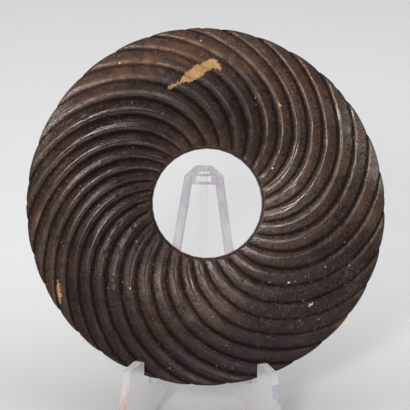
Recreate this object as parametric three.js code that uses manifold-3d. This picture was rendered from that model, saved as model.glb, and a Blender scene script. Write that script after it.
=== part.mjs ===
// A carved jade bi disc leaning back on its clear plastic display easel.
// Millimetres, +Z up, the carved front faces -Y, the easel stands on Z = 0.
import * as THREE from "three";
import { mergeVertices } from "three/addons/utils/BufferGeometryUtils.js";
import Module from "manifold-3d";

const wasm = await Module();
wasm.setup();

// How the disc stands: the lean from upright, and the height of its centre
const lean = THREE.MathUtils.degToRad(20);
const centreHeight = 74;

// The disc
const discRadius = 62.5;
const holeRadius = 19;
const holeShift = new THREE.Vector2(0.7, 1.3); // the hole is drilled a little right of and above the centre
const holeEdgeHalf = 3.2; // half thickness beside the hole
const rimEdgeHalf = 2.6; // half thickness beside the rim
const domeHalf = 2.2; // extra half thickness half way out
const edgeChamfer = 0.7; // worn bevel at the hole and the rim
const chamferShare = 0.012; // how far into the face the bevel reaches, as a share of its width

// The whirl carving: flutes that leave the hole steeply and bend towards the rim
const fluteCount = 31;
// One flute's section: place across it, and depth as a share of the groove's. A cut, a long
// slope up to the crest, then a short drop to the next cut
const fluteSection = [
  [0, 1],
  [0.16, 0.38],
  [0.63, 0],
  [0.9, 0.38],
];
const columnsPerFlute = fluteSection.length;
const sweepStart = THREE.MathUtils.degToRad(37); // turn per width of face at the hole
const sweepGain = THREE.MathUtils.degToRad(32); // what the turn grows by over the face
const whirlTurn = THREE.MathUtils.degToRad(4.3); // where the first flute starts
// Flutes cut by eye stand closer on one side than on the other: [waves round the disc, size, place]
const unevenSpacing = [
  [1, 0.088, THREE.MathUtils.degToRad(12)],
  [2, 0.033, THREE.MathUtils.degToRad(211)],
  [3, 0.022, THREE.MathUtils.degToRad(126)],
];
const grooveDepth = { hole: 0.3, middle: 1.3, rim: 0.7 };
const rimScallop = 0.5;
const holeScallop = 0.12;
const backCarving = 0.7; // the back is carved shallower
const faceSteps = 12;
const wallShare = 1e-3; // a vertex this near to an end of the face is on the hole's or the rim's wall
// Hand cutting leaves the rim a little out of round: [lobes, size, place of the high spot]
const outOfRound = [
  [2, 0.25, THREE.MathUtils.degToRad(-35)],
  [3, 0.22, THREE.MathUtils.degToRad(-10)],
];

// The easel: two thin side members, splayed in plan, that meet in a slotted bridge
const discShift = -0.12; // brings the uneven rim's middle over the origin
const easelShift = -0.75; // the easel stands a little left of the disc's centre
const plateThickness = 2.7;
const splay = THREE.MathUtils.degToRad(24.5);
const outerFaceAtCentre = 11.35; // half width over the side members, level with the disc's centre
const backClearance = 6.4; // the side members' front edge behind the disc's middle plane
const legDepth = { top: 1.5, seat: 3.1 };
// The hook and the front foot, as distance forward and height over the table
const hook = { rear: 23.5, front: 33.4, seat: 18.3, topRear: 25.5, top: 26.2, shoulder: 22.4 };
const frontFoot = { toe: 39, heel: 23 };
const legHeel = { forward: 3.6, height: 8.5 };

// The bridge, measured up the lean from the disc's centre
const bridge = {
  bottom: 8, shoulder: 11.1, top: 14.75, topHalf: 2.8, shoulderHalf: 6.9, bottomHalf: 7.3, depth: 3,
};
const slot = { bottom: 11.8, top: 12.6, half: 1.9 };
const window = { bottom: 9, top: 11, half: 2.7 };

// The rear leg: a bar that hooks into the bridge's window
const rearLegWidth = 3;
const tongueSides = 0.3; // clearance over, under and behind the bridge
const rearHead = { top: 13, depth: 2.4 };
const rearFoot = { toe: 40.1, heel: 36.7 };

// A point given as height up the lean and distance in front of the disc's middle plane,
// turned into distance forward and height over the table
function onLean(up, front) {
  return new THREE.Vector2(
    -up * Math.sin(lean) + front * Math.cos(lean),
    centreHeight + up * Math.cos(lean) + front * Math.sin(lean),
  );
}

function toSolid(geometry) {
  const bare = geometry.clone();
  bare.deleteAttribute("normal");
  bare.deleteAttribute("uv");
  const merged = mergeVertices(bare, 1e-4);
  return new wasm.Manifold(
    new wasm.Mesh({
      numProp: 3,
      vertProperties: new Float32Array(merged.attributes.position.array),
      triVerts: new Uint32Array(merged.index.array),
    }),
  );
}

function toGeometry(solid) {
  const mesh = solid.getMesh();
  const geometry = new THREE.BufferGeometry();
  geometry.setAttribute("position", new THREE.BufferAttribute(mesh.vertProperties, mesh.numProp));
  geometry.setIndex(new THREE.BufferAttribute(mesh.triVerts, 1));
  geometry.computeVertexNormals();
  return geometry;
}

// Half thickness of the disc at a share of the way from hole to rim
function halfThickness(share) {
  const edge = THREE.MathUtils.lerp(holeEdgeHalf, rimEdgeHalf, share);
  return edge + domeHalf * Math.sin(Math.PI * share);
}

// How far a flute has turned from its start at the hole
function sweep(share) {
  return sweepStart * share + sweepGain * share * share;
}

// Where a line of the carving starts at the hole, from its place in an even spacing
function startAngle(even) {
  const start = even + whirlTurn;
  return unevenSpacing.reduce((sum, [n, size, at]) => sum + size * Math.sin(n * even + at), start);
}

function grooveDepthAt(share) {
  const edge = THREE.MathUtils.lerp(grooveDepth.hole, grooveDepth.rim, share);
  return edge + (grooveDepth.middle - edge) * Math.sin(Math.PI * share) ** 0.7;
}

// The disc's section as a closed ring of points: radius and place through the thickness
function discSection() {
  const face = [];
  const radiusAt = (share) => THREE.MathUtils.lerp(holeRadius, discRadius, share);
  face.push([radiusAt(0), halfThickness(0) - edgeChamfer]);
  for (let step = 0; step <= faceSteps; step++) {
    const share = THREE.MathUtils.lerp(chamferShare, 1 - chamferShare, step / faceSteps);
    face.push([radiusAt(share), halfThickness(share)]);
  }
  face.push([radiusAt(1), halfThickness(1) - edgeChamfer]);
  const back = face.map(([radius, half]) => new THREE.Vector2(radius, half));
  const front = face.map(([radius, half]) => new THREE.Vector2(radius, -half)).reverse();
  return [...back, ...front, back[0].clone()];
}

// A turned ring whose vertices are then moved: each column follows one line of the carving
function discGeometry() {
  const section = discSection().reverse();
  const ring = new THREE.LatheGeometry(section, fluteCount * columnsPerFlute);
  ring.deleteAttribute("normal");
  ring.deleteAttribute("uv");
  const geometry = mergeVertices(ring, 1e-3);
  const position = geometry.attributes.position;
  const faceWidth = discRadius - holeRadius;
  for (let i = 0; i < position.count; i++) {
    const radius = Math.hypot(position.getX(i), position.getZ(i));
    const share = THREE.MathUtils.clamp((radius - holeRadius) / faceWidth, 0, 1);
    const turn = Math.atan2(position.getZ(i), position.getX(i)) / (2 * Math.PI);
    const column = Math.round(THREE.MathUtils.euclideanModulo(turn, 1) * fluteCount * columnsPerFlute);
    const [place, cut] = fluteSection[column % columnsPerFlute];
    const flute = Math.floor(column / columnsPerFlute);
    const even = ((flute + place) * 2 * Math.PI) / fluteCount;
    const angle = startAngle(even) + sweep(share);
    const through = position.getY(i);
    const carving = through < 0 ? 1 : backCarving;
    const onHoleWall = share < wallShare;
    const onRimWall = share > 1 - wallShare;
    const edgeCut = onRimWall ? rimScallop * cut : onHoleWall ? -holeScallop * cut : 0;
    const lobes = outOfRound.reduce((sum, [n, size, at]) => sum + size * Math.cos(n * (angle - at)), 0);
    const moved = radius - edgeCut + lobes * share * share;
    const depth = onHoleWall || onRimWall ? 0 : grooveDepthAt(share) * cut * carving;
    position.setXYZ(
      i,
      moved * Math.cos(angle) + holeShift.x * (1 - share),
      through - Math.sign(through) * depth,
      moved * Math.sin(angle) + holeShift.y * (1 - share),
    );
  }
  return geometry;
}

// One side member seen from its side: leg, seat, hook, front foot and the sloping lower edge
function sideOutline() {
  return [
    onLean(bridge.shoulder, -backClearance),
    onLean(-61.7, -backClearance), // seat, rear end
    new THREE.Vector2(hook.rear, hook.seat),
    new THREE.Vector2(hook.rear, hook.topRear),
    new THREE.Vector2(hook.rear + 1.9, hook.top),
    new THREE.Vector2(hook.front, hook.top),
    new THREE.Vector2(hook.front + 0.3, hook.shoulder),
    new THREE.Vector2(frontFoot.toe, 0),
    new THREE.Vector2(frontFoot.heel, 0),
    new THREE.Vector2(legHeel.forward, legHeel.height),
    onLean(-57, -backClearance - legDepth.seat),
    onLean(bridge.shoulder, -backClearance - legDepth.top),
  ];
}

// A side member stands in an upright plane that runs forward and outward
function sideMember(side) {
  const along = ([...points]) => points.map((p) => new THREE.Vector2(p.x / Math.cos(splay), p.y));
  const shape = new THREE.Shape(along(sideOutline()));
  const geometry = new THREE.ExtrudeGeometry(shape, { depth: plateThickness, bevelEnabled: false });
  const forward = new THREE.Vector3(side * Math.sin(splay), -Math.cos(splay), 0);
  const upward = new THREE.Vector3(0, 0, 1);
  const across = forward.clone().cross(upward);
  const start = new THREE.Vector3(side * outerFaceAtCentre, 0, 0);
  if (side < 0) start.addScaledVector(across, -plateThickness); // the left one's thickness runs outward
  geometry.applyMatrix4(new THREE.Matrix4().makeBasis(forward, upward, across).setPosition(start));
  return geometry;
}

function rectanglePath(part) {
  return new THREE.Path([
    new THREE.Vector2(-part.half, part.bottom),
    new THREE.Vector2(-part.half, part.top),
    new THREE.Vector2(part.half, part.top),
    new THREE.Vector2(part.half, part.bottom),
  ]);
}

// The bridge lies in the leaning plane, with a thin slot over the window that takes the rear leg
function bridgeGeometry() {
  const shape = new THREE.Shape([
    new THREE.Vector2(-bridge.bottomHalf, bridge.bottom),
    new THREE.Vector2(bridge.bottomHalf, bridge.bottom),
    new THREE.Vector2(bridge.shoulderHalf, bridge.shoulder),
    new THREE.Vector2(bridge.topHalf, bridge.top),
    new THREE.Vector2(-bridge.topHalf, bridge.top),
    new THREE.Vector2(-bridge.shoulderHalf, bridge.shoulder),
  ]);
  shape.holes.push(rectanglePath(slot), rectanglePath(window));
  const geometry = new THREE.ExtrudeGeometry(shape, { depth: bridge.depth, bevelEnabled: false });
  const acrossX = new THREE.Vector3(1, 0, 0);
  const upLean = new THREE.Vector3(0, Math.sin(lean), Math.cos(lean));
  const outFront = acrossX.clone().cross(upLean);
  const start = outFront.clone().multiplyScalar(-backClearance - bridge.depth);
  start.z += centreHeight;
  geometry.applyMatrix4(new THREE.Matrix4().makeBasis(acrossX, upLean, outFront).setPosition(start));
  return geometry;
}

function easelFrameGeometry() {
  return toGeometry(
    toSolid(bridgeGeometry()).add(toSolid(sideMember(1))).add(toSolid(sideMember(-1))),
  );
}

// The rear leg seen from its side: the tongue through the window, the head, the bar and its foot
function rearLegGeometry() {
  const behindBridge = -backClearance - bridge.depth - tongueSides;
  const shape = new THREE.Shape([
    onLean(window.top - tongueSides, -backClearance - tongueSides),
    onLean(window.top - tongueSides, behindBridge),
    onLean(rearHead.top, behindBridge),
    onLean(rearHead.top, behindBridge - rearHead.depth),
    new THREE.Vector2(-rearFoot.toe, 0),
    new THREE.Vector2(-rearFoot.heel, 0),
    onLean(bridge.bottom - tongueSides, behindBridge - tongueSides),
    onLean(window.bottom + tongueSides, behindBridge),
    onLean(window.bottom + tongueSides, -backClearance - tongueSides),
  ]);
  const geometry = new THREE.ExtrudeGeometry(shape, { depth: rearLegWidth, bevelEnabled: false });
  const forward = new THREE.Vector3(0, -1, 0);
  const upward = new THREE.Vector3(0, 0, 1);
  const across = forward.clone().cross(upward);
  const basis = new THREE.Matrix4().makeBasis(forward, upward, across);
  geometry.applyMatrix4(basis.setPosition(rearLegWidth / 2, 0, 0));
  return geometry;
}

function clearPlastic() {
  return new THREE.MeshStandardMaterial({
    color: 0xe4e8ec, roughness: 0.05, metalness: 0, transparent: true, opacity: 0.4,
  });
}

function namedMesh(name, geometry, material) {
  const mesh = new THREE.Mesh(geometry, material);
  mesh.name = name;
  return mesh;
}

const darkJade = new THREE.MeshStandardMaterial({ color: 0x453a34, roughness: 0.35, metalness: 0 });
const disc = namedMesh("bi_disc", discGeometry(), darkJade);
disc.rotation.x = -lean;
disc.position.set(discShift, 0, centreHeight);

const easel = new THREE.Group();
easel.add(
  namedMesh("easel_frame", easelFrameGeometry(), clearPlastic()),
  namedMesh("easel_rear_leg", rearLegGeometry(), clearPlastic()),
);
easel.position.x = easelShift;

const part = new THREE.Group();
part.add(disc, easel);

export default part;
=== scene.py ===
import math
import random

import bmesh
import bpy
from mathutils import Matrix, Vector, noise


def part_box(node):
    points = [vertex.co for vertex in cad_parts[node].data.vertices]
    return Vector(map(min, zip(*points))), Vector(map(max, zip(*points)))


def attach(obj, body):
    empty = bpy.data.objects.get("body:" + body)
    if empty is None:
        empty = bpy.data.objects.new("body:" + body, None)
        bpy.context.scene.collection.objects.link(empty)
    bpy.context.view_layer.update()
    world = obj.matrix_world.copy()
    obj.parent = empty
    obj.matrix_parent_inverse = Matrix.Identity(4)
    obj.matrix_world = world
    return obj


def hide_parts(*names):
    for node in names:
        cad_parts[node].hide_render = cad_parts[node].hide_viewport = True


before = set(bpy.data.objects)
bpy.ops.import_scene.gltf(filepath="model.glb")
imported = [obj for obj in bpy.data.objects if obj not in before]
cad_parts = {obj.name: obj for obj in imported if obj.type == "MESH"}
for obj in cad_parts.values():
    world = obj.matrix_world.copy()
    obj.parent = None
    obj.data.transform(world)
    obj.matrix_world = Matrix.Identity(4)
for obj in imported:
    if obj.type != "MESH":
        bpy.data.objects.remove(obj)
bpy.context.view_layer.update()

mm = 0.001
lean = math.radians(20)  # the disc leans back this far from upright
acrossX = Vector((1, 0, 0))
upLean = Vector((0, math.sin(lean), math.cos(lean)))
outFront = Vector((0, -math.cos(lean), math.sin(lean)))


def lerp(a, b, share):
    return a + (b - a) * share


def smooth(x):
    x = min(max(x, 0), 1)
    return x * x * (3 - 2 * x)


def bell(x):
    return math.exp(-(x * x))


def newPiece(bm, name):
    mesh = bpy.data.meshes.new(name)
    bm.to_mesh(mesh)
    bm.free()
    piece = bpy.data.objects.new(name, mesh)
    bpy.context.scene.collection.objects.link(piece)
    return piece


# The carved disc, in millimetres: X to the right, Z up the lean, -Y out of the front
disc = {
    "radius": 62.5,
    "hole": 19.0,
    "holeShift": (0.7, 1.3),  # the hole is drilled a little off the middle
    "holeEdgeHalf": 3.2,  # half thickness beside the hole, beside the rim, and what the dome adds
    "rimEdgeHalf": 2.6,
    "domeHalf": 2.2,
    "holeRound": 1.1,
    "rimRound": 0.7,
    "frontRows": 106,
    "backRows": 30,
    "wallRows": 5,
    "rowCrowding": 0.04,  # how much closer the rows stand at the hole and the rim
    "merge": 1e-4,
    "wall": 1e-4,  # share of the way in or out that still counts as the hole's or rim's wall
    "outOfRound": [(2, 0.25, -34), (3, 0.22, -9)],  # lobes, size, place of the high spot
}

flute = {
    "count": 31,
    "columns": 20,  # mesh columns in one flute
    "crowding": 0.25,  # how much the columns crowd towards the groove
    "crest": 0.63,  # where the crest stands between two cuts: a long slope, then a short drop
    "turn": 4.3,
    "sweepStart": 37,  # turn from hole to rim, in degrees, and how much it grows
    "sweepGain": 32,
    "unevenSpacing": [(1, 0.088, 12), (2, 0.033, 211), (3, 0.022, 126)],  # waves, size, place
    "depthHole": 0.3,
    "depthMiddle": 1.3,
    "depthRim": 0.7,
    "depthSwell": 0.7,  # below one, the flutes stay deep for longer
    "roundness": 1.55,
    "notchShare": 0.38,  # share of the depth that is the sharp cut between two flutes
    "notchWidth": 0.23,
    "notchRagged": 1.0,  # how much the width of a cut varies along it
    "notchNarrow": 0.35,  # cuts are this much narrower where the skin is rough or polished
    "facet": 0.06,  # a flat left by the polishing stone beside the cut
    "facetFrom": 0.42,
    "facetWidth": 0.14,
    "facetSpread": (0.2, 1.5),
    "facetSwell": (0.6, 0.8),  # the flat's plain share, and what the crest's swell adds
    "wander": 0.05,  # how far a cut strays sideways, in flutes
    "strayWaves": ((3.7, 5, 1), (5.1, 21, 0.45)),  # step from cut to cut, waves along it, size
    "raggedWaves": (7.7, 26),
    "swellWaves": (5.3, 3.0),
    "swell": 0.09,  # how much a crest rises and falls along its way
    "crestSpread": 0.1,  # how much one crest stands over the next
    "crestFade": (0.1, 0.06),  # shares at the hole and at the rim where both fade out
    "cutLayers": (0, 9),  # the front and the back stray differently
    "crestLayers": (4, 7),
    "fadeAtHole": 0.035,
    "rimScallop": 0.5,
    "rimReach": 0.07,
    "holeScallop": 0.12,
    "holeReach": 0.05,
    "backCarving": 0.7,
}

# Worn and damaged places: centre (right, up), reach (along, across), turn, and how strong
wear = {
    "rough": [
        ((36, -33), (17, 11), 35, 1.0),
        ((16, -40), (26, 13), 10, 0.45),
        ((-34, -36), (14, 10), -40, 0.35),
        ((49, -25), (10, 7), 60, 0.55),
        ((24, -40), (9, 6), 20, 0.45),
        ((-31, 33), (5, 2.5), 40, 0.35),
    ],
    "polished": [
        ((-43, 38), (13, 5), 42, 0.6),
        ((-14, 19), (6, 4), 40, 0.45),
        ((20, 3), (4, 7), 10, 0.25),
        ((-16, 49), (24, 9), 12, 0.8),
        ((12, 53), (22, 7), -15, 0.6),
    ],
    "stained": [  # ochre and rust brown places in the stone
        ((-18, 50), (20, 7), 20, 1.0),
        ((-40, 40), (12, 5), 42, 0.4),
        ((16, 50), (14, 7), -20, 0.7),
        ((-6, 30), (12, 9), 10, 0.35),
        ((-11, 38.3), (3.2, 0.9), -32, 0.8),
        ((-58.5, -4.8), (2.6, 1.8), 80, 0.8),
        ((-50.2, -29.8), (5, 1.7), 102, 0.9),
        ((-28.3, -17.8), (2.0, 1.6), 60, 0.8),
        ((-32.0, -20.6), (2.4, 1.4), 70, 0.7),
        ((-34.8, 3.2), (3.6, 2.0), 45, 0.6),
        ((-50.4, 13.3), (2.4, 1.5), 50, 0.6),
        ((35.2, 14.6), (2.6, 1.2), 70, 0.8),
        ((49.4, 15.5), (5, 1.8), 80, 0.6),
        ((5.3, -42), (3.0, 1.6), -20, 0.6),
        ((6.8, -47), (4.2, 1.5), -10, 0.6),
        ((22.5, -26.4), (1.8, 1.2), 0, 0.9),
        ((49, -41), (5, 2), 45, 1.0),
        ((30, -36), (6, 3), 20, 0.4),
    ],
    "matte": [
        ((-8, 47), (30, 11), 5, 0.9),
        ((14, 38), (14, 10), -30, 0.4),
        ((-20, -20), (15, 13), 60, 0.8),
        ((38, -36), (20, 13), 30, 1.0),
        ((4, -50), (26, 9), 0, 0.7),
        ((-52, -22), (9, 16), 20, 0.5),
    ],
    "hazy": [  # paler, olive grey places, painted sheen where it passes about one, mostly at the rims, and painted shade in the darker ones below nought
        ((31, -33), (28, 17), 35, -1.3),
        ((8, -53), (36, 13), 0, -1.6),
        ((-36, -38), (16, 10), -45, -1.0),
        ((-30, 4), (14, 24), -15, -0.9),
        ((-24, 29), (15, 10), 20, -0.9),
        ((4, 33), (17, 11), -10, -1.0),
        ((-8, 43), (18, 6), 0, -0.5),
        ((17, 15), (8, 8), 0, -0.3),
        ((59, 24), (9, 26), 14, 2.2),
        ((51, 30), (9, 9), -60, 1.0),
        ((29, 6), (11, 11), 0, 1.1),
        ((6, -34), (12, 10), -20, 0.6),
        ((-9, -22), (8, 6), -30, -0.4),
        ((14, -13), (13, 7), 0, 0.6),
        ((-53, 32), (19, 5), 58, 2.3),
        ((-32, 55), (12, 5), 32, 1.0),
        ((-30, 34), (10, 6), 40, -0.8),
        ((-38, 16), (8, 6), 60, -0.6),
        ((-25, -14), (9, 8), 0, -0.7),
        ((-4, -39), (10, 5), 0, 0.5),
        ((41, -31), (5, 2), 25, -1.2),
        ((46, -26), (5, 2), 35, -1.0),
        ((24, -51), (16, 6), -15, -0.8),
        ((50, -41), (4, 2), 45, 1.6),
        ((6, 60), (34, 3), 0, 0.7),
    ],
    "onBack": {"rough": 0.25, "polished": 0.1, "stained": 0.15, "matte": 0.3, "hazy": 0.2},
    "hazeSheenShadeMost": 2,
    "roughFlattens": 0.5,
    "polishFlattens": 0.6,
    "pitDepth": 0.26,
    "pitWaves": ((0.9, 1), (2.3, 0.35)),  # waves in a millimetre, size
    "pitFrom": 0.1,
    "pitShares": (0.18, 1.6),  # pitting everywhere, and what roughness adds
    "pitFade": 0.05,
    "waveDepth": 0.05,
    "waveScale": 0.23,
    "backLayer": 50,  # keeps the back's pits apart from the front's
    "chips": 60,
    "chipStray": 0.15,  # how far a chip lies from the middle of a flute
    "chipZones": ((0.1, 0.95), (0.93, 1.0)),  # anywhere on the face, or at the rim
    "chipSize": (0.4, 1.3),
    "chipStrength": (0.3, 1.0),
    "chipDepth": 0.3,
    "rimChip": 0.35,
    "seed": 7,
}

# Where the colours follow the carving
carvedTones = {
    "dirtShadeFrom": (0.62, 0.7),  # how near to a cut the earth and its painted shade start, on the long slope and the drop
    "dirtShadeRough": 0.1,
    "dirtShadeFull": 0.95,
    "dirtShadeFade": 0.06,
    "polishClears": 0.35,
    "chipRough": 0.8,
    "matteRough": 0.6,
    "ridgeWidth": 0.4,
    "ridgeFade": 0.05,
    "lip": 0.8,  # where a stained edge with a painted highlight shows on the short drop
    "lipWidth": 0.06,
    "lipFade": 0.1,
    "streakLength": 8,
    "farAway": 6.0,  # millimetres past which no vein or speck is looked for
    "veinSpan": 30,
}

# Pale tan veins and white specks: points along each one with its half width there
veins = {
    "topPatch": [
        (4.3, 47.4, 0.5),
        (3.3, 48.6, 0.9),
        (1.6, 50.0, 1.5),
        (-0.8, 48.3, 1.6),
        (-3.6, 46.6, 2.2),
        (-6.4, 44.6, 1.9),
        (-8.8, 43.2, 0.7),
    ],
    "topTail": [(-10.2, 42.4, 0.45), (-13.3, 40.6, 0.5)],
    "lowLeftPatch": [(-50.9, -26.8, 0.2), (-50.6, -29.4, 0.6), (-50.2, -32.4, 0.5), (-50.2, -34.6, 0.1)],
    "nub": [(24.6, 36.2, 0.35), (25.3, 35.0, 0.3)],
}
whiteSpecks = [
    (36.5, -33.8, 0.5),
    (37.5, -33.1, 0.4),
    (29.0, -26.3, 0.42),
    (39.7, -38.6, 0.42),
    (41.6, -20.5, 0.3),
    (50.0, -19.7, 0.3),
    (31.2, -25.6, 0.22),
    (34.8, -24.3, 0.25),
    (49.2, -26.4, 0.25),
    (37.1, -30.1, 0.25),
    (33.4, -38.9, 0.18),
    (22.4, -26.7, 0.2),
    (-26.0, -29.5, 0.2),
    (8.0, -48.6, 0.2),
]


def halfThickness(share):
    edge = lerp(disc["holeEdgeHalf"], disc["rimEdgeHalf"], share)
    return edge + disc["domeHalf"] * math.sin(math.pi * share)


def sweep(share):
    return math.radians(flute["sweepStart"]) * share + math.radians(flute["sweepGain"]) * share * share


def startAngle(even):
    start = even + math.radians(flute["turn"])
    for waves, size, place in flute["unevenSpacing"]:
        start += size * math.sin(waves * even + math.radians(place))
    return start


def fluteDepth(share):
    edge = lerp(flute["depthHole"], flute["depthRim"], share)
    depth = edge + (flute["depthMiddle"] - edge) * math.sin(math.pi * share) ** flute["depthSwell"]
    return depth * smooth(share / flute["fadeAtHole"])


def crestDistance(phase):
    crest = flute["crest"]
    return (crest - phase) / crest if phase < crest else (phase - crest) / (1 - crest)


def fluteCut(fromCrest, facet, width):
    body = fromCrest ** flute["roundness"]
    body -= facet * smooth((fromCrest - flute["facetFrom"]) / flute["facetWidth"])
    notch = smooth((fromCrest - 1 + width) / width)
    return lerp(body, notch, flute["notchShare"])


def alongCut(index, step, share, waves, layer):
    return noise.noise(Vector((index * step, share * waves, layer)))


def wearAt(kind, right, up, front, most=1):
    if not front:
        return wear["onBack"][kind]
    total = 0
    for (x, z), (along, across), turn, strength in wear[kind]:
        a = math.radians(turn)
        dx, dz = right - x, up - z
        p = (dx * math.cos(a) + dz * math.sin(a)) / along
        q = (dz * math.cos(a) - dx * math.sin(a)) / across
        total += strength * math.exp(-(p * p + q * q))
    return min(total, most)


def veinDistance(right, up):
    nearest = carvedTones["farAway"]
    here = Vector((right, up))
    for points in veins.values():
        if math.hypot(right - points[0][0], up - points[0][1]) > carvedTones["veinSpan"]:
            continue
        for (x0, z0, r0), (x1, z1, r1) in zip(points, points[1:]):
            start, run = Vector((x0, z0)), Vector((x1 - x0, z1 - z0))
            along = min(max((here - start).dot(run) / run.length_squared, 0), 1)
            nearest = min(nearest, (here - start - run * along).length - lerp(r0, r1, along))
    return nearest


def speckDistance(right, up):
    nearest = min(math.hypot(right - x, up - z) - r for x, z, r in whiteSpecks)
    return min(nearest, carvedTones["farAway"])


def sectionPoints():
    # The ring's section as (share of the way out, place through the thickness), front first
    def faceRows(rows, side):
        made = []
        for i in range(rows + 1):
            even = i / rows
            share = even - disc["rowCrowding"] * math.sin(4 * math.pi * even) / math.pi
            toEdge = min(share, 1 - share) * (disc["radius"] - disc["hole"])
            drop = disc["holeRound"] if share < 0.5 else disc["rimRound"]
            drop -= math.sqrt(max(drop * drop - max(drop - toEdge, 0) ** 2, 0))
            made.append((share, side * (halfThickness(share) - drop)))
        return made

    front = faceRows(disc["frontRows"], -1)
    back = faceRows(disc["backRows"], 1)[::-1]

    def wallRows(a, b):
        n = disc["wallRows"]
        return [(a[0], lerp(a[1], b[1], i / n)) for i in range(1, n)]

    return front + wallRows(front[-1], back[0]) + back + wallRows(back[-1], front[0])


def makeChips(rng):
    chips = []
    for _ in range(wear["chips"]):
        even = rng.randrange(flute["count"]) + 0.5 + rng.uniform(-wear["chipStray"], wear["chipStray"])
        share = rng.choice([rng.uniform(*zone) for zone in wear["chipZones"]])
        angle = startAngle(even / flute["count"] * 2 * math.pi) + sweep(share)
        radius = lerp(disc["hole"], disc["radius"], share)
        size = rng.uniform(*wear["chipSize"])
        strength = rng.uniform(*wear["chipStrength"])
        chips.append((radius * math.cos(angle), radius * math.sin(angle), size, strength))
    return chips


def chippedAt(chips, right, up):
    chipped = 0
    for x, z, size, strength in chips:
        away = (x - right) ** 2 + (z - up) ** 2
        if away < size * size:
            chipped = max(chipped, strength * (1 - away / (size * size)))
    return chipped


def pitsAt(here):
    return sum(size * noise.noise(here * waves) for waves, size in wear["pitWaves"])


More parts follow.
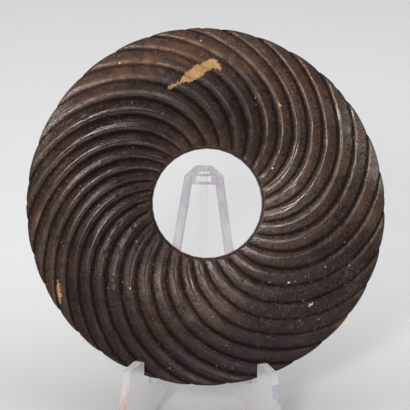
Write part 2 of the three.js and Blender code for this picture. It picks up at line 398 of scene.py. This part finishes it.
def buildDisc():
    bm = bmesh.new()
    width = disc["radius"] - disc["hole"]
    ring = [bm.verts.new((disc["hole"] + share * width, y, 0)) for share, y in sectionPoints()]
    edges = [bm.edges.new((a, b)) for a, b in zip(ring, ring[1:] + ring[:1])]
    columns = flute["count"] * flute["columns"]
    bmesh.ops.spin(bm, geom=ring + edges, cent=(0, 0, 0), axis=(0, -1, 0), dvec=(0, 0, 0),
                   angle=2 * math.pi, steps=columns, use_merge=True, use_duplicate=False)
    bmesh.ops.remove_doubles(bm, verts=bm.verts, dist=disc["merge"])

    floats = ("groove", "rough", "vein", "speck", "stain", "ridge", "lip", "hazeAndSheen")
    layers = {name: bm.verts.layers.float.new(name) for name in floats}
    alongLayer = bm.verts.layers.float_vector.new("alongFlute")
    uv = bm.loops.layers.uv.new("flutes")
    columnOf, shareOf = {}, {}
    rng = random.Random(wear["seed"])
    chips = makeChips(rng)
    facets = [rng.uniform(*flute["facetSpread"]) for _ in range(flute["count"])]
    crestLift = [rng.uniform(-flute["crestSpread"], flute["crestSpread"]) for _ in range(flute["count"])]

    for v in bm.verts:
        x, y, z = v.co
        radius = math.hypot(x, z)
        share = min(max((radius - disc["hole"]) / width, 0), 1)
        column = round(math.atan2(z, x) / (2 * math.pi) * columns) % columns
        columnOf[v], shareOf[v] = column, share
        rib, step = divmod(column, flute["columns"])
        part = step / flute["columns"]
        phase = part - flute["crowding"] * math.sin(2 * math.pi * part) / (2 * math.pi)
        even = (rib + phase) / flute["count"] * 2 * math.pi
        onWall = min(share, 1 - share) < disc["wall"]
        front = y < 0

        # a cut strays a little sideways along its way; the shift fades at the crest
        fromCrest = crestDistance(phase)
        cutIndex = (rib + (phase > flute["crest"])) % flute["count"]
        layer = flute["cutLayers"][0 if front else 1]
        stray = 0
        for cutStep, waves, size in flute["strayWaves"]:
            stray += size * alongCut(cutIndex, cutStep, share, waves, layer)
        stray *= flute["wander"] * fromCrest**2
        angle = startAngle(even + stray * 2 * math.pi / flute["count"]) + sweep(share)
        lobes = 0
        for waves, size, at in disc["outOfRound"]:
            lobes += size * math.cos(waves * angle - waves * math.radians(at))
        right = radius * math.cos(angle)
        up = radius * math.sin(angle)

        # how deep the carving is here, with its sharp cut, its polishing flat and its uneven crest
        rough = wearAt("rough", right, up, front)
        polished = wearAt("polished", right, up, front)
        cutStep, waves = flute["raggedWaves"]
        ragged = alongCut(cutIndex, cutStep, share, waves, layer)
        cutWidth = flute["notchWidth"] * (1 + flute["notchRagged"] * ragged)
        cutWidth *= 1 - flute["notchNarrow"] * max(rough, polished)
        ribStep, waves = flute["swellWaves"]
        swell = alongCut(rib, ribStep, share, waves, flute["crestLayers"][0 if front else 1])
        plain, added = flute["facetSwell"]
        facet = flute["facet"] * facets[rib] * (plain + added * swell)
        cut = fluteCut(fromCrest, facet, cutWidth)
        keep = (1 - wear["roughFlattens"] * rough) * (1 - wear["polishFlattens"] * polished)
        depth = fluteDepth(share) * cut * keep * (1 if front else flute["backCarving"])
        fadeHole, fadeRim = flute["crestFade"]
        lift = (flute["swell"] * swell + crestLift[rib]) * (1 - cut)
        depth -= lift * smooth(share / fadeHole) * smooth((1 - share) / fadeRim)

        # broken and pitted skin
        here = Vector((right, up, 0 if front else wear["backLayer"]))
        everywhere, whereRough = wear["pitShares"]
        pits = max(pitsAt(here) - wear["pitFrom"], 0) * (everywhere + whereRough * rough)
        depth += wear["pitDepth"] * pits * smooth(share / wear["pitFade"])
        depth += wear["waveDepth"] * noise.noise(here * wear["waveScale"])
        chipped = chippedAt(chips, right, up) if front else 0
        depth += wear["chipDepth"] * chipped

        atRim = smooth((share - 1 + flute["rimReach"]) / flute["rimReach"])
        atHole = smooth((flute["holeReach"] - share) / flute["holeReach"])
        rimPull = (flute["rimScallop"] * cut * keep + wear["rimChip"] * chipped) * atRim
        moved = radius + lobes * share * share - rimPull + flute["holeScallop"] * cut * atHole
        through = y if onWall else y - math.copysign(depth, y)
        v.co = (
            moved * math.cos(angle) + disc["holeShift"][0] * (1 - share),
            through,
            moved * math.sin(angle) + disc["holeShift"][1] * (1 - share),
        )

        # what the stone's colours and gloss follow
        slopeFrom, dropFrom = carvedTones["dirtShadeFrom"]
        dirtShadeFrom = slopeFrom if phase < flute["crest"] else dropFrom
        dirtShadeFrom += carvedTones["dirtShadeRough"] * rough
        # earth in the cuts, widened up their sides into painted shade
        dirtAndShade = smooth((fromCrest - dirtShadeFrom) / (carvedTones["dirtShadeFull"] - dirtShadeFrom))
        dirtAndShade *= smooth(share / carvedTones["dirtShadeFade"])
        matte = wearAt("matte", right, up, front)
        farAway = carvedTones["farAway"]
        tones = {
            "groove": dirtAndShade * (1 - carvedTones["polishClears"] * polished),
            "rough": max(rough, carvedTones["chipRough"] * chipped, carvedTones["matteRough"] * matte),
            "vein": veinDistance(right, up) if front else farAway,
            "speck": speckDistance(right, up) if front else farAway,
            # the haze map: pale olive grey haze, painted sheen at the rims and painted shade below nought
            "hazeAndSheen": wearAt("hazy", right, up, front, wear["hazeSheenShadeMost"]),
            "stain": wearAt("stained", right, up, front),
            "ridge": bell(fromCrest / carvedTones["ridgeWidth"]) * smooth(share / carvedTones["ridgeFade"]),
            "lip": bell((phase - carvedTones["lip"]) / carvedTones["lipWidth"])
            * smooth(share / carvedTones["lipFade"]),
        }
        for name, value in tones.items():
            v[layers[name]] = value
        v[alongLayer] = ((rib + phase), share * carvedTones["streakLength"], 0)

    for face in bm.faces:
        held = [columnOf[loop.vert] for loop in face.loops]
        wraps = max(held) - min(held) > columns / 2
        for loop, column in zip(face.loops, held):
            if wraps and column < columns / 2:
                column += columns
            loop[uv].uv = (column / columns, shareOf[loop.vert])
        face.smooth = True
    bmesh.ops.recalc_face_normals(bm, faces=bm.faces)

    # lean it back, bring it to metres, and set it where the frame holds it
    turn = Matrix((acrossX, upLean.cross(acrossX), upLean)).transposed().to_4x4()
    bmesh.ops.transform(bm, matrix=Matrix.Scale(mm, 4) @ turn, verts=bm.verts)
    low = Vector([min(v.co[i] for v in bm.verts) for i in range(3)])
    high = Vector([max(v.co[i] for v in bm.verts) for i in range(3)])
    cadLow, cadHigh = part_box("bi_disc")
    bmesh.ops.translate(bm, vec=(cadLow + cadHigh - low - high) / 2, verts=bm.verts)
    return newPiece(bm, "carvedDisc")


# A material's node tree, built one value at a time
class Nodes:
    def __init__(self, name):
        self.material = bpy.data.materials.new(name)
        self.material.use_nodes = True
        self.tree = self.material.node_tree
        self.shader = self.tree.nodes["Principled BSDF"]
        self.place = self.add("ShaderNodeTexCoord").outputs["Object"]

    def add(self, kind, **values):
        node = self.tree.nodes.new(kind)
        for key, value in values.items():
            if key in node.inputs:
                node.inputs[key].default_value = value
            else:
                setattr(node, key, value)
        return node

    def link(self, value, socket):
        self.tree.links.new(value, socket)

    def drive(self, **values):
        for name, value in values.items():
            self.link(value, self.shader.inputs[name.replace("_", " ")])

    def attribute(self, name):
        return self.add("ShaderNodeAttribute", attribute_name=name).outputs["Fac"]

    def axis(self, name):
        split = self.add("ShaderNodeSeparateXYZ")
        self.link(self.place, split.inputs["Vector"])
        return split.outputs[name]

    def stretched(self, source, scale):
        made = self.add("ShaderNodeMapping", Scale=scale)
        self.link(source, made.inputs["Vector"])
        return made.outputs["Vector"]

    def noise(self, scale, detail=3.0, rough=0.55, distortion=0.0, source=None):
        made = self.add("ShaderNodeTexNoise", Scale=scale, Detail=detail, Roughness=rough,
                        Distortion=distortion)
        self.link(source or self.place, made.inputs["Vector"])
        return made.outputs["Fac"]

    def ramp(self, source, low, high, toLow=0.0, toHigh=1.0):
        made = self.add("ShaderNodeMapRange", interpolation_type="SMOOTHSTEP")
        for key, value in (("From Min", low), ("From Max", high), ("To Min", toLow), ("To Max", toHigh)):
            made.inputs[key].default_value = value
        self.link(source, made.inputs["Value"])
        return made.outputs["Result"]

    def maths(self, operation, *values):
        result = values[0]
        for value in values[1:]:
            made = self.add("ShaderNodeMath", operation=operation)
            for socket, part in zip(made.inputs, (result, value)):
                if isinstance(part, (int, float)):
                    socket.default_value = part
                else:
                    self.link(part, socket)
            result = made.outputs[0]
        return result

    def times(self, *values):
        return self.maths("MULTIPLY", *values)

    def plus(self, *values):
        return self.maths("ADD", *values)

    def mix(self, share, first, second):
        made = self.add("ShaderNodeMix", data_type="RGBA")
        for socket, value in ((made.inputs[0], share), (made.inputs[6], first), (made.inputs[7], second)):
            if isinstance(value, (int, float)):
                socket.default_value = value
            elif isinstance(value, tuple):
                socket.default_value = (*value, 1)
            else:
                self.link(value, socket)
        return made.outputs[2]

    def bump(self, height, distance, strength, under=None):
        made = self.add("ShaderNodeBump", Distance=distance)
        if isinstance(strength, (int, float)):
            made.inputs["Strength"].default_value = strength
        else:
            self.link(strength, made.inputs["Strength"])
        self.link(height, made.inputs["Height"])
        if under:
            self.link(under, made.inputs["Normal"])
        return made.outputs["Normal"]


jade = {
    "dark": (0.0195, 0.0098, 0.0088),
    "brown": (0.056, 0.026, 0.0138),
    "rust": (0.120, 0.052, 0.023),
    "hazeAndSheen": (0.081, 0.061, 0.047),
    "paintedRimSheen": (0.195, 0.165, 0.145),
    "worn": (0.115, 0.070, 0.048),
    "earthAndShade": (0.0055, 0.0038, 0.0034),
    "redEarthAndShade": (0.040, 0.013, 0.0055),
    "grit": (0.20, 0.115, 0.058),
    "ash": (0.125, 0.103, 0.088),
    "lip": (0.30, 0.165, 0.085),
    "olive": (0.092, 0.076, 0.050),
    "plum": (0.024, 0.0125, 0.0150),
    "dust": (0.085, 0.064, 0.056),
    "tan": (0.38, 0.215, 0.085),
    "tanLight": (0.52, 0.32, 0.14),
    "chalk": (0.62, 0.60, 0.54),
    "ior": 1.61,
    "reflection": 0.22,
    "reflectionTint": (1.0, 0.865, 0.88, 1),
}

# Noises in the stone: scale, detail, roughness, distortion
jade["noises"] = {
    "clouds": (75, 6, 0.66, 0.4),
    "hazeAndSheen": (80, 5, 0.68),
    "worn": (110, 4, 0.6),
    "rust": (190, 5, 0.66, 0.3),
    "blots": (170, 4, 0.6),
    "earthAndShade": (420, 5, 0.7),
    "lip": (260, 4, 0.6),
    "darkBlots": (240, 5, 0.7),
    "patches": (300, 4, 0.7, 0.6),
    "dust": (1300, 4, 0.8),
    "speckle": (1700, 3, 0.7),
    "ragged": (1100, 3),
    "vein": (700, 4, 0.7),
    "gloss": (210, 4, 0.6),
    "pocks": (1200, 5, 0.75),
    "pockPatches": (130, 3),
    "streakStretch": (13, 0.9, 1),  # across and along a flute
    "scarStretch": (5, 2.2, 1),
    "scars": (1.0, 4.0, 0.7),
}

# How a value becomes an amount: from low, from high, to low, to high
jade["ramps"] = {
    "warmSide": (-0.055, 0.015, 0.45, 1.0),  # browner to the right
    "lit": (-1, 0.2, 0.15, 1.0),
    "clouds": (0.42, 0.62),
    "streaks": (0.50, 0.70, 0, 0.5),
    "hazeSheenClouds": (0.36, 0.64, 0.25, 0.95),
    "hazeAndSheen": (-0.6, 1, 0.0, 1.0),
    "paintedRimSheen": (0.9, 1.8, 0, 0.85),
    "brightClouds": (0.4, 0.6, 0.4, 1.0),
    "worn": (0.36, 0.66, 0.05, 0.75),
    "wornStain": (0, 1, 0.35, 0.85),
    "rust": (0.40, 0.62),
    "blots": (0.64, 0.74, 0, 0.6),
    "earthAndShade": (0.30, 0.55, 0.55, 1.0),
    "redEarthAndShade": (0.25, 0.9, 0, 0.9),
    "lip": (0.38, 0.6, 0.1, 0.9),
    "darkBlots": (0.56, 0.70, 0, 0.75),
    "olive": (0.54, 0.63, 0, 0.85),
    "plum": (0.40, 0.50, 0.75, 0),
    "scars": (0.54, 0.60, 0, 0.85),
    "scarRough": (0.35, 0.8),
    "offRidge": (0, 1, 1, 0.3),
    "offStain": (0.2, 0.9, 1, 0.35),
    "dust": (0.45, 0.62, 0, 0.9),
    "dustRough": (0.1, 0.9, 0.12, 0.8),
    "speckle": (0.25, 0.75, -1.0, 1.0),
    "paintedShade": (-1, 0, 0.5, 1),
    "deepShade": (-2.4, -1, 0.5, 1),
    "grain": (0.20, 0.36, 1, 0),
    "gritPale": (0.2, 1.0, 0.25, 0.9),
    "ashen": (0.42, 0.5),
    "ashenStain": (0.2, 0.6, 1, 0.2),
    "chalkGrain": (0.95, 1.0),
    "ragged": (0.3, 0.7, -0.35, 0.35),
    "vein": (-0.25, 0.30, 1, 0),
    "veinTone": (0.35, 0.65),
    "speck": (-0.2, 0.1, 1, 0),
    "gloss": (0.3, 0.7, 0.17, 0.30),
    "hazeSheenShadeGloss": (0.3, 1.0, 0, 0.10),
    "pockPatches": (0.40, 0.62, 0.06, 0.42),
}

jade["grains"] = {
    "sizes": ((2300, 1.0), (1300, 0.7), (780, 0.3)),  # how fine, and how common
    "everywhere": 0.035,
    "inGroove": 0.06,
    "whereRough": 0.10,
    "whereStained": 0.10,
    "pits": 0.12,
    "pitsInGroove": 0.25,
    "pitDark": 0.85,
}

# What makes the skin duller, and how deep its fine relief is, in metres
jade["dulling"] = {"groove": 0.5, "rough": 0.25, "vein": 0.2, "stain": 0.14, "grains": 0.3}
jade["relief"] = {
    "streaks": (0.0001, 0.5),  # distance, strength
    "pits": (0.0002, 0.6),
    "pocks": 0.00025,
    "pocksRough": 1.1,
}
jade["mixing"] = {
    "lipAlways": 0.15,
    "roughBlots": 0.06,
    "veinCover": 0.95,
    "veinEarth": 0.2,
}


def jadeMaterial():
    n = Nodes("darkJade")
    grains, dulling, relief, mixing = (jade[name] for name in ("grains", "dulling", "relief", "mixing"))
    groove, ridge, rough, stain = (n.attribute(name) for name in ("groove", "ridge", "rough", "stain"))
    vein, speck, hazy, lip = (n.attribute(name) for name in ("vein", "speck", "hazeAndSheen", "lip"))
    along = n.add("ShaderNodeAttribute", attribute_name="alongFlute").outputs["Vector"]

    def grown(name):
        return n.noise(*jade["noises"][name])

    def amount(name, source):
        return n.ramp(source, *jade["ramps"][name])

    # stone: dark body, brown and grey clouds, streaks that follow the flutes, with painted shade and
    # painted sheen set by the haze map
    # painted shade: less brown where the haze map is below nought
    lit = amount("lit", hazy)
    brownness = n.times(amount("clouds", grown("clouds")), amount("warmSide", n.axis("X")), lit)
    colour = n.mix(brownness, jade["dark"], jade["brown"])
    streak = n.noise(1.0, 3.0, 0.5, source=n.stretched(along, jade["noises"]["streakStretch"]))
    colour = n.mix(n.times(amount("streaks", streak), lit), colour, jade["brown"])
    hazeSheenClouds = grown("hazeAndSheen")
    # olive grey haze, which at the rims also stands for painted sheen
    hazeAndSheen = n.times(amount("hazeSheenClouds", hazeSheenClouds), amount("hazeAndSheen", hazy))
    colour = n.mix(hazeAndSheen, colour, jade["hazeAndSheen"])
    # painted sheen: a pale colour where the haze map passes about one, mostly on the rims
    paintedRimSheen = n.times(amount("paintedRimSheen", hazy), amount("brightClouds", hazeSheenClouds))
    colour = n.mix(paintedRimSheen, colour, jade["paintedRimSheen"])

    # worn, paler crests, stronger where the stone is stained
    worn = n.times(ridge, amount("worn", grown("worn")), amount("wornStain", stain))
    colour = n.mix(worn, colour, jade["worn"])

    # rust and ochre in the stained places and in scattered blots
    rust = n.times(stain, amount("rust", grown("rust")))
    colour = n.mix(n.plus(rust, amount("blots", grown("blots"))), colour, jade["rust"])

    # earth settles in the cuts and reaches up their sides as painted shade, redder where the stone is
    # stained, with a pale lip beside it
    earthAndShade = n.times(groove, amount("earthAndShade", grown("earthAndShade")))
    earthShadeTone = n.mix(amount("redEarthAndShade", stain), jade["earthAndShade"], jade["redEarthAndShade"])
    colour = n.mix(earthAndShade, colour, earthShadeTone)
    # the pale lip is partly a stained edge and partly a painted highlight along the edge of the cut
    lipAmount = n.times(lip, n.plus(stain, mixing["lipAlways"]), amount("lip", grown("lip")))
    colour = n.mix(lipAmount, colour, jade["lip"])
    darkBlots = n.plus(grown("darkBlots"), n.times(rough, mixing["roughBlots"]))
    colour = n.mix(amount("darkBlots", darkBlots), colour, jade["earthAndShade"])

    # plum, olive and black patches where the skin is broken
    patches = grown("patches")
    colour = n.mix(n.times(amount("olive", patches), rough), colour, jade["olive"])
    colour = n.mix(n.times(amount("plum", patches), rough), colour, jade["plum"])
    scars = n.noise(*jade["noises"]["scars"], source=n.stretched(along, jade["noises"]["scarStretch"]))
    scars = n.times(amount("scars", scars), amount("scarRough", rough))
    colour = n.mix(scars, colour, jade["earthAndShade"])

    # dust and fine speckle in the skin, and painted shade that darkens the colour where the haze map is
    # below nought
    offRidge = n.times(n.maths("MAXIMUM", amount("offRidge", ridge), rough), amount("offStain", stain))
    dusty = n.times(amount("dust", grown("dust")), amount("dustRough", rough), offRidge)
    colour = n.mix(dusty, colour, jade["dust"])
    speckle = n.times(amount("speckle", grown("speckle")), offRidge)
    # painted shade: the colour is darker where the haze map is below nought
    paintedShade = n.times(amount("paintedShade", hazy), amount("deepShade", hazy))
    tone = n.add("ShaderNodeHueSaturation")
    n.link(n.times(n.plus(speckle, 1.0), paintedShade), tone.inputs["Value"])
    n.link(colour, tone.inputs["Color"])
    colour = tone.outputs["Color"]

    # grains of grit and open pits, in three sizes
    gritSizes, pitSizes = [], []
    for scale, common in grains["sizes"]:
        cells = n.add("ShaderNodeTexVoronoi", Scale=scale)
        n.link(n.place, cells.inputs["Vector"])
        grain = amount("grain", cells.outputs["Distance"])
        dice = n.add("ShaderNodeSeparateColor")
        n.link(cells.outputs["Color"], dice.inputs["Color"])
        chance, chanceOpen, tint = (dice.outputs[name] for name in ("Red", "Green", "Blue"))
        gritty = n.plus(n.times(groove, grains["inGroove"]), n.times(rough, grains["whereRough"]))
        gritty = n.plus(gritty, n.times(stain, grains["whereStained"]), grains["everywhere"])
        grit = n.times(grain, n.maths("LESS_THAN", chance, n.times(gritty, common)))
        ashen = n.times(amount("ashen", tint), amount("ashenStain", stain))
        grainTone = n.mix(ashen, jade["grit"], jade["ash"])
        grainTone = n.mix(amount("chalkGrain", tint), grainTone, jade["chalk"])
        colour = n.mix(n.times(grit, amount("gritPale", tint)), colour, grainTone)
        inGroove = n.times(groove, grains["pitsInGroove"] * common)
        closed = n.maths("SUBTRACT", 1 - grains["pits"] * common, inGroove)
        pits = n.times(grain, n.maths("GREATER_THAN", chanceOpen, closed), offRidge)
        colour = n.mix(n.times(pits, grains["pitDark"]), colour, jade["earthAndShade"])
        gritSizes.append(grit)
        pitSizes.append(pits)
    grit = n.maths("MAXIMUM", *gritSizes)
    pits = n.maths("MAXIMUM", *pitSizes)

    # tan vein and white specks with ragged edges
    ragged = amount("ragged", grown("ragged"))
    veinMask = amount("vein", n.plus(vein, ragged))
    veinTone = n.mix(amount("veinTone", grown("vein")), jade["tan"], jade["tanLight"])
    veinTone = n.mix(n.times(earthAndShade, mixing["veinEarth"]), veinTone, jade["rust"])
    colour = n.mix(n.times(veinMask, mixing["veinCover"]), colour, veinTone)
    colour = n.mix(amount("speck", n.plus(speck, ragged)), colour, jade["chalk"])

    # gloss: waxy on the crests, dull in the cuts, the damage and the vein
    dull = n.plus(n.times(groove, dulling["groove"]), n.times(rough, dulling["rough"]))
    dull = n.plus(dull, n.times(veinMask, dulling["vein"]), n.times(stain, dulling["stain"]))
    dull = n.maths("SUBTRACT", dull, amount("hazeSheenShadeGloss", hazy))
    dull = n.plus(dull, n.times(n.maths("MAXIMUM", grit, pits), dulling["grains"]))

    # fine relief: polishing streaks, a pocked skin, pits and grains
    normal = n.bump(streak, *relief["streaks"])
    pocking = n.plus(n.times(rough, relief["pocksRough"]), amount("pockPatches", grown("pockPatches")))
    normal = n.bump(grown("pocks"), relief["pocks"], n.times(pocking, offRidge), normal)
    normal = n.bump(n.maths("SUBTRACT", grit, pits), *relief["pits"], normal)

    n.drive(Base_Color=colour, Roughness=n.plus(amount("gloss", grown("gloss")), dull), Normal=normal)
    n.shader.inputs["IOR"].default_value = jade["ior"]
    n.shader.inputs["Specular IOR Level"].default_value = jade["reflection"]
    n.shader.inputs["Specular Tint"].default_value = jade["reflectionTint"]
    return n.material


# The clear easel: its faces, its rounded edges and its two front edges have a tint each, and these hold
# painted light: painted shade high up, painted highlights on the edges, painted refraction colours on the
# front edges
easel = {
    "edgeRound": 0.28,
    "edgeSegments": 2,
    "sharpAngle": 18,
    "flatAngle": 0.5,
    "merge": 1e-6,
    "clear": (0.87, 0.86, 0.89),
    "paintedShade": (0.50, 0.46, 0.52),  # painted shade high up, standing for the dark stone in front of it that the plastic mirrors
    "shadeRise": (0.045, 0.080),
    "paintedEdgeHighlight": (1.0, 1.0, 1.0),  # painted highlight on the rounded edges, where they gather light, and painted shade on them high up
    "paintedEdgeShade": (0.16, 0.13, 0.17),
    "streakStretch": (500, 500, 40),
    "streaks": (0.35, 0.65, 0.55, 1.1),
    "paintedWarmRefraction": (0.80, 0.42, 0.34),  # painted refraction: the two front edges split the light into warm and plum tints, and these are painted as colour
    "paintedPlumRefraction": (0.42, 0.36, 0.50),
    "paintedRefractionSides": (-0.005, 0.005),
    "paintedRefractionStretch": (160, 160, 110),
    "paintedRefractionPatches": (0.38, 0.6, 0.1, 0.85),
    # a front edge faces forward by more than this, and lies in front of and below these places
    "frontFacing": -0.5,
    "frontBefore": -0.02,
    "frontBelow": 0.02,
    "transmission": 0.4,
    "alpha": {"easelFrame": 0.6, "easelRearLeg": 0.06},
    "edgeAlpha": {"easelFrame": 0.85, "easelRearLeg": 0.12},
    "ior": 1.49,
    "scuffNoise": (700, 4, 0.6),
    "scuffs": (0.45, 0.75, 0.015, 0.09),
    "waveNoise": (120, 2),
    "waves": (0.0002, 0.12),  # distance, strength
}


def clearMaterial(name, part):
    n = Nodes(name + part)
    edge = part == "Edge"
    # painted shade: the colour darkens high up and in streaks, where the plastic mirrors the dark stone;
    # the edges run from a painted highlight low down to painted shade high up
    high = n.ramp(n.axis("Z"), *easel["shadeRise"])
    streaks = n.noise(1, 3, source=n.stretched(n.place, easel["streakStretch"]))
    low, top = ("paintedEdgeHighlight", "paintedEdgeShade") if edge else ("clear", "paintedShade")
    colour = n.mix(n.times(high, n.ramp(streaks, *easel["streaks"])), easel[low], easel[top])
    # painted refraction colours on the two front edges, warm on the left one and plum on the right one, in
    # patches
    if part == "Front":
        tint = n.mix(n.ramp(n.axis("X"), *easel["paintedRefractionSides"]), easel["paintedWarmRefraction"], easel["paintedPlumRefraction"])
        patches = n.noise(1, 3, source=n.stretched(n.place, easel["paintedRefractionStretch"]))
        colour = n.mix(n.ramp(patches, *easel["paintedRefractionPatches"]), colour, tint)
    scuffs = n.ramp(n.noise(*easel["scuffNoise"]), *easel["scuffs"])
    waves = n.bump(n.noise(*easel["waveNoise"]), *easel["waves"])
    n.drive(Base_Color=colour, Roughness=scuffs, Normal=waves)
    n.shader.inputs["Transmission Weight"].default_value = easel["transmission"]
    n.shader.inputs["Alpha"].default_value = easel["edgeAlpha" if edge else "alpha"][name]
    n.shader.inputs["IOR"].default_value = easel["ior"]
    return n.material


def onFrontEdge(face):
    middle = face.calc_center_median()
    forward = face.normal.y < easel["frontFacing"] and middle.y < easel["frontBefore"]
    return face.material_index == 0 and forward and middle.z < easel["frontBelow"]


def mouldedCopy(node, name):
    bm = bmesh.new()
    bm.from_mesh(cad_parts[node].data)
    bmesh.ops.remove_doubles(bm, verts=bm.verts, dist=easel["merge"])
    flat = math.radians(easel["flatAngle"])
    bmesh.ops.dissolve_limit(bm, angle_limit=flat, verts=bm.verts, edges=bm.edges)
    sharp = [e for e in bm.edges if e.calc_face_angle(0) > math.radians(easel["sharpAngle"])]
    bmesh.ops.bevel(bm, geom=sharp, offset=easel["edgeRound"] * mm, offset_type="OFFSET",
                    segments=easel["edgeSegments"], profile=0.5, affect="EDGES", material=1,
                    clamp_overlap=True)
    bmesh.ops.remove_doubles(bm, verts=bm.verts, dist=easel["merge"])
    bmesh.ops.recalc_face_normals(bm, faces=bm.faces)
    for face in bm.faces:
        if onFrontEdge(face):
            face.material_index = 2
    return newPiece(bm, name)


# Floor, lights and camera
studio = {
    # the pale floor is painted darker in front and paler behind: painted shade in front, painted light
    # behind the easel
    "floorNearPaintedShade": (0.65, 0.645, 0.64),
    "floorFarPaintedLight": (0.83, 0.83, 0.83),
    "floorPaintedLightChange": (-0.06, 0.16),
    "floorRoughness": 0.6,
    "floorFront": 1.2,
    "floorBack": 0.75,
    "sweepRadius": 0.35,
    "sweepSteps": 16,
    "wallHeight": 1.5,
    "halfWidth": 1.5,
    "worldColour": (1.0, 0.95, 0.92),
    "worldStrength": 0.2,
    "cameraDistance": 0.62,
    "viewWidth": 143.4,
    "sensor": 36,
    "cameraRoll": -0.93,
    "aimShift": (-0.2, 0.6),
}

# Lamps: place, what they face, size, power and colour
lamps = {
    "overhead": ((0.0, 0.14, 0.95), (0, 0.14, 0), (1.4, 1.0), 8.8, (0.95, 0.975, 1.0)),
    "frontFill": ((0.0, -0.95, 0.45), (0, -0.05, 0.03), (0.9, 0.4), 1.6, (1.0, 0.98, 0.96)),
    "left": ((-0.18, -0.70, 0.43), (0, 0, 0.07), (0.12, 0.15), 2.9, (1.0, 0.97, 0.95)),
    "frontLow": ((0.03, -0.42, 0.02), (0, 0, 0.07), (0.08, 0.04), 0.17, (1.0, 0.96, 0.93)),
}
softLamps = ("overhead", "frontFill")  # these two give light but no glints


def onlyVerts(geometry):
    return [v for v in geometry if isinstance(v, bmesh.types.BMVert)]


def onlyEdges(geometry):
    return [e for e in geometry if isinstance(e, bmesh.types.BMEdge)]


def buildFloor():
    bm = bmesh.new()
    half = studio["halfWidth"]
    corners = [bm.verts.new((side * half, -studio["floorFront"], 0)) for side in (-1, 1)]
    edge = bm.edges.new(corners)
    grown = bmesh.ops.extrude_edge_only(bm, edges=[edge])["geom"]
    rear = onlyVerts(grown)
    bmesh.ops.translate(bm, vec=(0, studio["floorFront"] + studio["floorBack"], 0), verts=rear)
    middle = (0, studio["floorBack"], studio["sweepRadius"])
    bent = bmesh.ops.spin(bm, geom=rear + onlyEdges(grown), cent=middle, axis=(1, 0, 0),
                          angle=math.pi / 2, steps=studio["sweepSteps"], dvec=(0, 0, 0))["geom_last"]
    wall = bmesh.ops.extrude_edge_only(bm, edges=onlyEdges(bent))["geom"]
    bmesh.ops.translate(bm, vec=(0, 0, studio["wallHeight"]), verts=onlyVerts(wall))
    bmesh.ops.recalc_face_normals(bm, faces=bm.faces)
    for face in bm.faces:
        face.smooth = True
    floor = newPiece(bm, "floorSweep")
    n = Nodes("paleFloor")
    # painted shade in front, painted light further back
    further = n.ramp(n.axis("Y"), *studio["floorPaintedLightChange"])
    n.drive(Base_Color=n.mix(further, studio["floorNearPaintedShade"], studio["floorFarPaintedLight"]))
    n.shader.inputs["Roughness"].default_value = studio["floorRoughness"]
    floor.data.materials.append(n.material)


def buildLamps():
    for name, (at, towards, size, power, colour) in lamps.items():
        light = bpy.data.lights.new(name, "AREA")
        light.shape = "RECTANGLE"
        light.size, light.size_y = size
        light.energy = power
        light.color = colour
        lamp = bpy.data.objects.new(name, light)
        lamp.location = at
        lamp.visible_glossy = name not in softLamps
        lamp.rotation_euler = (Vector(towards) - Vector(at)).to_track_quat("-Z", "Y").to_euler()
        bpy.context.scene.collection.objects.link(lamp)
    world = bpy.data.worlds.new("studio")
    world.use_nodes = True
    background = world.node_tree.nodes["Background"]
    background.inputs["Color"].default_value = (*studio["worldColour"], 1)
    background.inputs["Strength"].default_value = studio["worldStrength"]
    bpy.context.scene.world = world


def buildCamera():
    low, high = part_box("bi_disc")
    middle = (low + high) / 2
    right, up = studio["aimShift"]
    target = middle + (acrossX * right + upLean * up) * mm
    camera = bpy.data.cameras.new("camera")
    camera.sensor_width = studio["sensor"]
    camera.lens = studio["sensor"] * studio["cameraDistance"] / (studio["viewWidth"] * mm)
    holder = bpy.data.objects.new("camera", camera)
    turn = Matrix((acrossX, upLean, outFront)).transposed()
    turn = turn @ Matrix.Rotation(math.radians(-studio["cameraRoll"]), 3, "Z")
    holder.matrix_world = Matrix.Translation(target + outFront * studio["cameraDistance"]) @ turn.to_4x4()
    bpy.context.scene.collection.objects.link(holder)
    bpy.context.scene.camera = holder
    bpy.context.scene.view_settings.view_transform = "Standard"


buildCamera()
buildFloor()
buildLamps()
print("studio ready")

carvedDisc = buildDisc()
carvedDisc.data.materials.append(jadeMaterial())
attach(carvedDisc, "root")
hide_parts("bi_disc")
print("disc carved:", len(carvedDisc.data.polygons), "faces")

for node, name in (("easel_frame", "easelFrame"), ("easel_rear_leg", "easelRearLeg")):
    piece = mouldedCopy(node, name)
    for part in ("Plastic", "Edge", "Front") if node == "easel_frame" else ("Plastic", "Edge"):
        piece.data.materials.append(clearMaterial(name, part))
    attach(piece, "root")
    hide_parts(node)
print("easel moulded")
